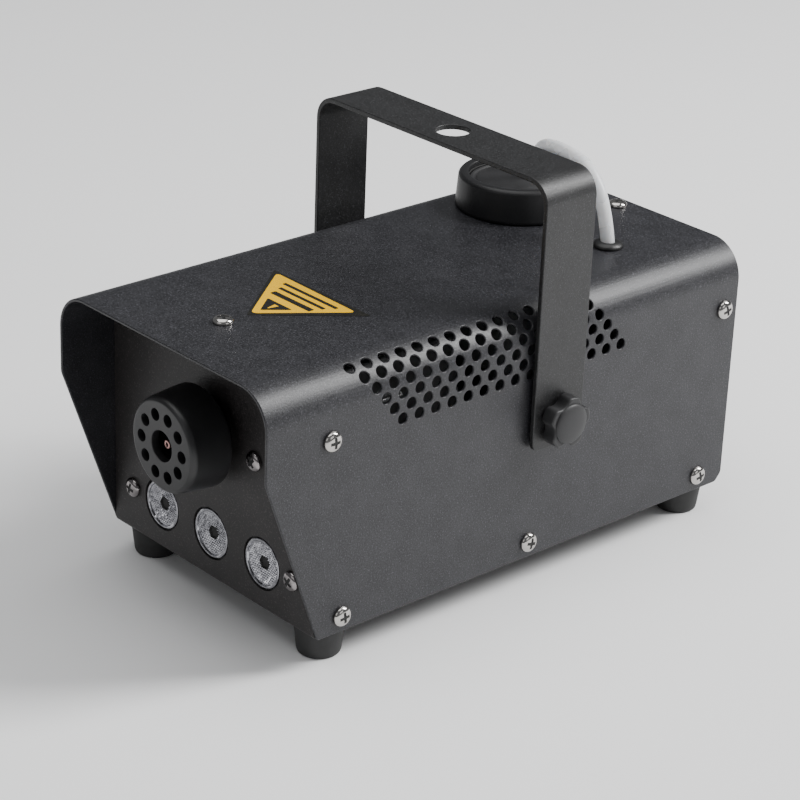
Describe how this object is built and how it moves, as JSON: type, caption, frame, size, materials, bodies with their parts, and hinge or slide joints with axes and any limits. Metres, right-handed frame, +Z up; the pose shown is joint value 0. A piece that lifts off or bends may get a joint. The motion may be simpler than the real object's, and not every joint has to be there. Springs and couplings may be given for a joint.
{
  "type": "fog machine",
  "caption": "Box-shaped stage fog machine with a folded steel case, hooded nozzle, front lamps, tilting yoke handle with hand knobs and a filler cap fed by a looped tube.",
  "frame": {"origin": "on the floor under the middle of the footprint, which runs from the hood's front edge to the socket at the back", "axes": "+Z up, the nozzle blows along -Y, +X is to the right as seen from the front with the nozzle towards the viewer"},
  "size_m": [0.1442, 0.2428, 0.163],
  "materials": {
    "black_coat": "satin fine-grain black powder coat",
    "black_plastic": "matt black moulded plastic",
    "gloss_black": "gloss black moulded plastic",
    "rubber": "black rubber",
    "silicone": "milky translucent silicone",
    "lens": "clear moulded optic with a ribbed face",
    "nickel": "bright nickel plate",
    "dark_nickel": "dark nickel plate",
    "steel": "zinc-plated steel",
    "aluminium": "as cast",
    "brass": "turned brass",
    "white_plastic": "natural nylon",
    "bottle": "natural polyethylene",
    "coil": "blue moulded coil body",
    "board": "green solder mask",
    "lamp_board": "white solder mask",
    "emitter": "phosphor",
    "red_lens": "red lamp lens",
    "yellow_film": "printed film"
  },
  "bodies": {
    "root": {"board_components": "gloss_black", "board_posts": "brass", "board_screws": "steel", "board_transformer": "coil", "cap_ring_nut": "black_plastic", "chassis": "black_coat", "contact_pins": "brass", "control_board": "board", "cover_screws": "nickel", "feed_tube": "silicone", "feet": "rubber", "fluid_tank": "bottle", "foot_screws": "steel", "front_screws": "dark_nickel", "heat_sensors": "steel", "heater_block": "aluminium", "heater_brackets": "steel", "heater_pipe": "steel", "heater_terminals": "steel", "inlet_pins": "brass", "insulating_strips": "white_plastic", "lamp_board": "lamp_board", "lamp_emitters": "emitter", "lamp_lenses": "lens", "lamp_spacers": "white_plastic", "lens_holders": "black_plastic", "mains_inlet": "black_plastic", "nozzle": "brass", "nozzle_cap": "black_plastic", "pickup_filter": "steel", "pickup_tube": "silicone", "pivot_inserts": "steel", "pivot_spacers": "white_plastic", "pump_barrel": "steel", "pump_coil": "coil", "pump_elbow": "black_plastic", "pump_frame": "steel", "pump_outlet": "brass", "pump_pads": "rubber", "pump_spring": "steel", "ready_lamp": "red_lens", "rear_fasteners": "steel", "remote_socket": "steel", "switch_housing": "black_plastic", "tank_bracket": "steel", "top_cover": "black_coat", "top_sticker": "yellow_film", "tube_disc": "black_plastic", "tube_grommet": "rubber"},
    "yoke": {"yoke": "black_coat"},
    "left_knob_seat": {"left_washer": "steel"},
    "left_knob": {"left_knob": "black_plastic", "left_stud": "steel"},
    "right_knob_seat": {"right_washer": "steel"},
    "right_knob": {"right_knob": "black_plastic", "right_stud": "steel"},
    "cap_seal": {"collar_seal": "rubber"},
    "tank_cap": {"tank_collar": "black_plastic"},
    "rocker": {"switch_rocker": "gloss_black"},
    "plunger": {"pump_plunger": "steel"}
  },
  "joints": [
    {"name": "yoke_tilt", "type": "hinge", "parent": "root", "child": "yoke", "pos_m": [0, 0.0145, 0.069], "axis": [1, 0, 0], "range_deg": [-25, 52]},
    {"name": "left_knob_out", "type": "slide", "parent": "root", "child": "left_knob_seat", "axis": [-1, 0, 0], "range_m": [0, 0.005]},
    {"name": "left_knob_turn", "type": "hinge", "parent": "left_knob_seat", "child": "left_knob", "pos_m": [-0.065, 0.0145, 0.069], "axis": [-1, 0, 0], "range_deg": [0, 1800]},
    {"name": "right_knob_out", "type": "slide", "parent": "root", "child": "right_knob_seat", "axis": [1, 0, 0], "range_m": [0, 0.005]},
    {"name": "right_knob_turn", "type": "hinge", "parent": "right_knob_seat", "child": "right_knob", "pos_m": [0.065, 0.0145, 0.069], "axis": [1, 0, 0], "range_deg": [0, 1800]},
    {"name": "tank_cap_lift", "type": "slide", "parent": "root", "child": "cap_seal", "axis": [0, 0, 1], "range_m": [0, 0.009]},
    {"name": "tank_cap_turn", "type": "hinge", "parent": "cap_seal", "child": "tank_cap", "pos_m": [-0.0245, 0.0748, 0.12], "axis": [0, 0, 1], "range_deg": [0, 810]},
    {"name": "power_rocker", "type": "hinge", "parent": "root", "child": "rocker", "pos_m": [0.018, 0.1115, 0.052], "axis": [-1, 0, 0], "range_deg": [0, 20]},
    {"name": "pump_stroke", "type": "slide", "parent": "root", "child": "plunger", "axis": [0, -1, 0], "range_m": [0, 0.003], "stiffness_N_per_m": 400, "deforming": ["pump_spring"]}
  ],
  "couplings": [
    {"joint": "left_knob_out", "follows": "left_knob_turn", "m_per_rad": 0.00015914},
    {"joint": "right_knob_out", "follows": "right_knob_turn", "m_per_rad": 0.00015914},
    {"joint": "tank_cap_lift", "follows": "tank_cap_turn", "m_per_rad": 0.00063656}
  ]
}
